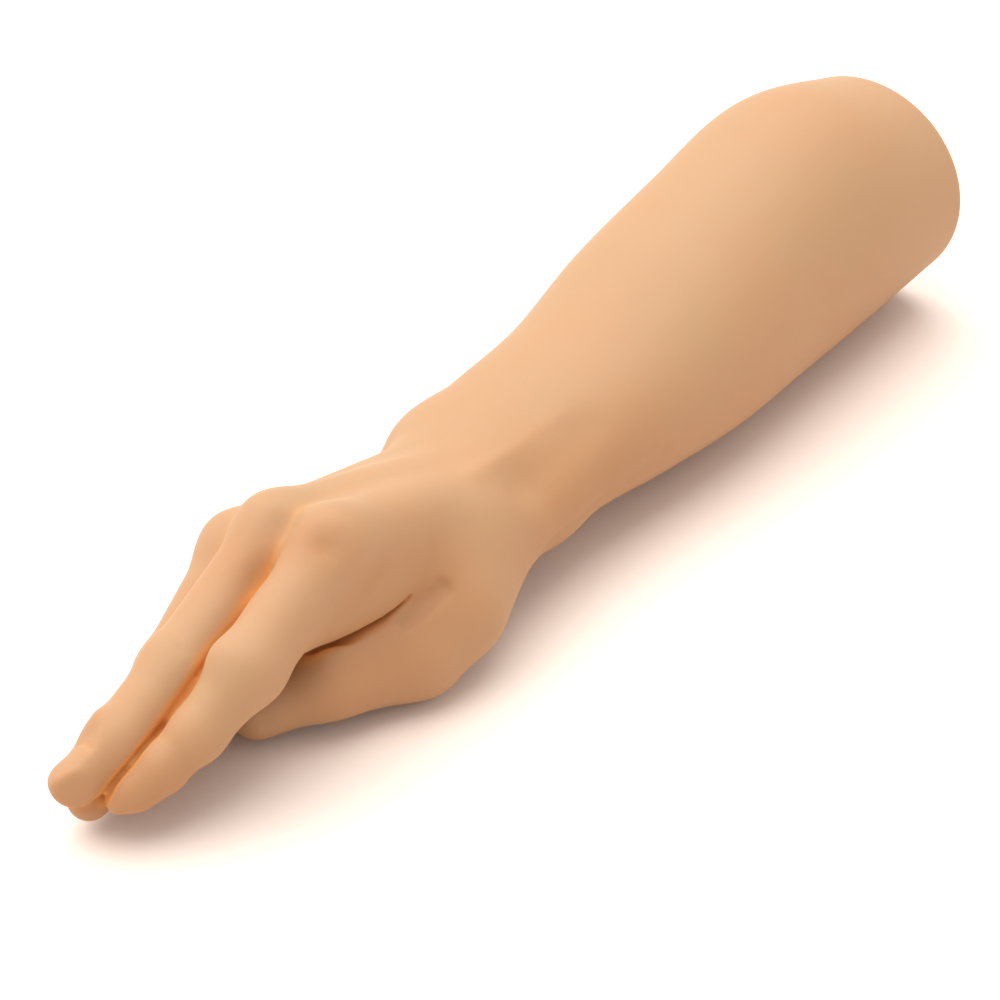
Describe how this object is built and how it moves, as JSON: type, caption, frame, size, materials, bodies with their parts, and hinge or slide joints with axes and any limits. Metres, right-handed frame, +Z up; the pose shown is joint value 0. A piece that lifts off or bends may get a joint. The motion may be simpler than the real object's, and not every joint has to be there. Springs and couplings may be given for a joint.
{
  "type": "moulded hand and forearm",
  "caption": "Life-size soft moulded right hand and forearm, palm down, fingertips gathered to a point, with a flat cut end at the forearm.",
  "frame": {"origin": "bottom centre of the part's box: the middle of its length and width, on the surface that it lies on", "axes": "+X along the arm from the fingertips towards the cut end of the forearm, +Z up out of the back of the hand, -Y towards the thumb side"},
  "size_m": [0.3937, 0.0892, 0.085],
  "materials": {
    "skin": "satin-matt, slightly translucent flesh-tone soft plastic, smooth over the forearm and finely creased at the knuckles"
  },
  "bodies": {
    "forearm": {"forearm": "skin", "wrist": "skin"},
    "hand": {"palm": "skin", "thumb": "skin", "index_finger": "skin", "middle_finger": "skin", "ring_finger": "skin", "little_finger": "skin"}
  },
  "joints": [
    {"name": "wrist_bend", "type": "hinge", "parent": "forearm", "child": "hand", "pos_m": [-0.01, 0, 0.029], "axis": [0, 1, 0], "range_deg": [0, 25], "stiffness_Nm_per_rad": 4.4, "deforming": ["wrist"]}
  ]
}
